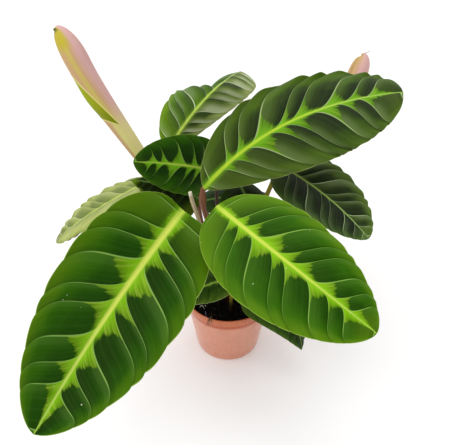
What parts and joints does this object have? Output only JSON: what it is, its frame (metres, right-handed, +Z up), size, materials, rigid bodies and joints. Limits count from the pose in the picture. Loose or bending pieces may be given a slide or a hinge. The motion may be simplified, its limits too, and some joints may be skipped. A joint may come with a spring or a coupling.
{
  "type": "potted calathea",
  "caption": "House plant with broad quilted, feather-marked leaves on upright stalks, standing in peat in a tapered round plastic nursery pot that rests on its flat floor.",
  "frame": {"origin": "centre of the pot's flat underside", "axes": "+Z up along the pot's axis; -Y is the plant's front, the side the picture looks at; +X is to the right from there"},
  "size_m": [0.4189, 0.5114, 0.4262],
  "materials": {
    "pot_plastic": "satin",
    "soil": "matte",
    "leaf_blade": "satin",
    "leaf_stalk": "satin",
    "new_leaf": "matte",
    "new_stalk": "satin",
    "cut_stalk": "matte"
  },
  "bodies": {
    "root": {"pot": "pot_plastic", "soil": "soil", "blade_front_left": "leaf_blade", "blade_front_right": "leaf_blade", "blade_upper_right": "leaf_blade", "blade_right_back": "leaf_blade", "blade_small_left": "leaf_blade", "blade_top_back": "leaf_blade", "blade_far_left": "leaf_blade", "blade_middle_left": "leaf_blade", "blade_middle_right": "leaf_blade", "blade_middle_back": "leaf_blade", "blade_low_centre": "leaf_blade", "blade_low_right": "leaf_blade", "stalk_front_left": "leaf_stalk", "stalk_front_right": "leaf_stalk", "stalk_upper_right": "leaf_stalk", "stalk_right_back": "leaf_stalk", "stalk_small_left": "leaf_stalk", "stalk_top_back": "leaf_stalk", "stalk_far_left": "leaf_stalk", "stalk_middle_left": "leaf_stalk", "stalk_middle_right": "leaf_stalk", "stalk_middle_back": "leaf_stalk", "stalk_low_centre": "leaf_stalk", "stalk_low_right": "leaf_stalk", "blade_rolled_left": "new_leaf", "blade_rolled_right": "new_leaf", "stalk_rolled_left": "new_stalk", "stalk_rolled_right": "new_stalk", "cut_stalk": "cut_stalk"}
  },
  "joints": []
}
